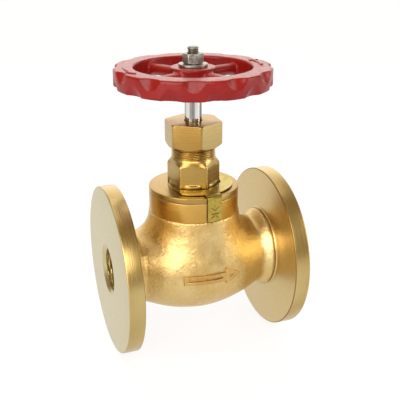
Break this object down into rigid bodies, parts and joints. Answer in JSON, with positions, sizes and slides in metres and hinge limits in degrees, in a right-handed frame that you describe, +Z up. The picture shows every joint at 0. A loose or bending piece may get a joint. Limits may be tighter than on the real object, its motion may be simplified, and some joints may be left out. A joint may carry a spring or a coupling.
{
  "type": "globe valve",
  "caption": "Flanged bronze globe valve with a screwed bonnet, gland-packed rising stem, metal disc and seat, and a red cast handwheel.",
  "frame": {"origin": "middle of the underside, where the two flange rims stand, straight below the stem axis", "axes": "+X along the pipe from the inlet face to the outlet face, +Z up the stem axis from the underside, +Y towards the back"},
  "size_m": [0.13, 0.1198, 0.2139],
  "materials": {
    "bronze": "satin cast bronze, flanges and neck turned",
    "brass": "machined",
    "tag_brass": "rolled sheet, stamped",
    "stainless": "polished",
    "zinc_steel": "zinc plated",
    "red_paint": "glossy red enamel on cast iron",
    "graphite": "braided packing",
    "gasket_fibre": "matt sheet"
  },
  "bodies": {
    "valve_body": {"body": "bronze", "seat_ring": "stainless", "bonnet_gasket": "gasket_fibre", "bonnet": "brass", "tag_plate": "tag_brass", "packing_washer": "brass", "packing_ring_1": "graphite", "packing_ring_2": "graphite", "packing_ring_3": "graphite", "packing_ring_4": "graphite"},
    "disc_carrier": {"disc": "stainless", "disc_nut": "stainless", "disc_lock_pin": "stainless"},
    "stem_and_wheel": {"stem": "stainless", "handwheel": "red_paint", "handwheel_washer": "zinc_steel", "handwheel_nut": "zinc_steel"},
    "gland_follower": {"gland": "brass"},
    "gland_nut_ring": {"gland_nut": "brass"}
  },
  "joints": [
    {"name": "stem_lift", "type": "slide", "parent": "valve_body", "child": "disc_carrier", "axis": [0, 0, 1], "range_m": [0, 0.012]},
    {"name": "handwheel_turn", "type": "hinge", "parent": "disc_carrier", "child": "stem_and_wheel", "pos_m": [0, 0, 0.19387], "axis": [0, 0, 1], "range_deg": [0, 1080]},
    {"name": "gland_slide", "type": "slide", "parent": "valve_body", "child": "gland_follower", "axis": [0, 0, 1], "range_m": [-0.00225, 0], "deforming": ["packing_ring_1", "packing_ring_2", "packing_ring_3", "packing_ring_4"]},
    {"name": "gland_nut_turn", "type": "hinge", "parent": "gland_follower", "child": "gland_nut_ring", "pos_m": [0, 0, 0.15487], "axis": [0, 0, 1], "range_deg": [-540, 0]}
  ],
  "couplings": [
    {"joint": "stem_lift", "follows": "handwheel_turn", "m_per_rad": 0.00063662},
    {"joint": "gland_slide", "follows": "gland_nut_turn", "m_per_rad": 0.00023873}
  ]
}
